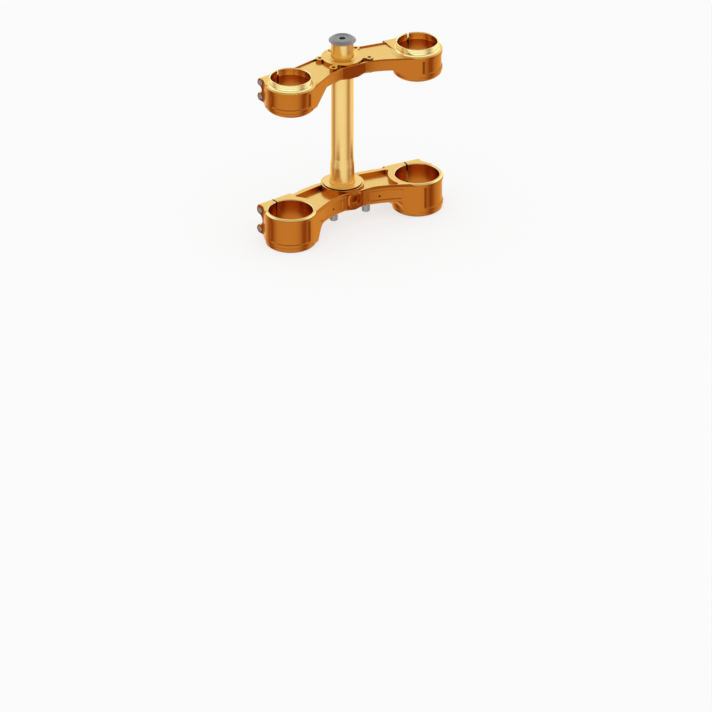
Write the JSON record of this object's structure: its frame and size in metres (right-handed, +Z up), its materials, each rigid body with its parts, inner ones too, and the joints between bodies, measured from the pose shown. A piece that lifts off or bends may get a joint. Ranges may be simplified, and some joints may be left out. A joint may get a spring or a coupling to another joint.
{
  "type": "motorcycle triple clamp",
  "caption": "Upper and lower fork clamps of a motorcycle front end, machined aluminium, joined by a steering stem, with split fork rings, pinch bolts and steering stops.",
  "frame": {"origin": "on the steering axis, at the seat of the lower steering bearing", "axes": "+Z up along the steering axis, -Y to the front wheel, +X to the fork tube on the picture's right"},
  "size_m": [0.2734, 0.0931, 0.2676],
  "materials": {
    "anodised_clamps": "orange anodised, machined, low gloss",
    "anodised_stem": "turned, gold-orange anodised, glossy",
    "anodised_washer": "turned, gold-orange anodised",
    "steel_fasteners": "grey, machined"
  },
  "bodies": {
    "root": {"upper_clamp": "anodised_clamps", "lower_clamp": "anodised_clamps", "steering_stem": "anodised_stem", "dust_washer": "anodised_washer", "stem_screw": "steel_fasteners", "stem_retaining_ring": "steel_fasteners", "stem_pinch_bolt": "steel_fasteners", "stop_stud_left": "steel_fasteners", "stop_stud_right": "steel_fasteners", "upper_pinch_bolt_left_low": "steel_fasteners", "upper_pinch_bolt_left_high": "steel_fasteners", "upper_pinch_bolt_right_low": "steel_fasteners", "upper_pinch_bolt_right_high": "steel_fasteners", "lower_pinch_bolt_left_low": "steel_fasteners", "lower_pinch_bolt_left_high": "steel_fasteners", "lower_pinch_bolt_right_low": "steel_fasteners", "lower_pinch_bolt_right_high": "steel_fasteners"}
  },
  "joints": []
}
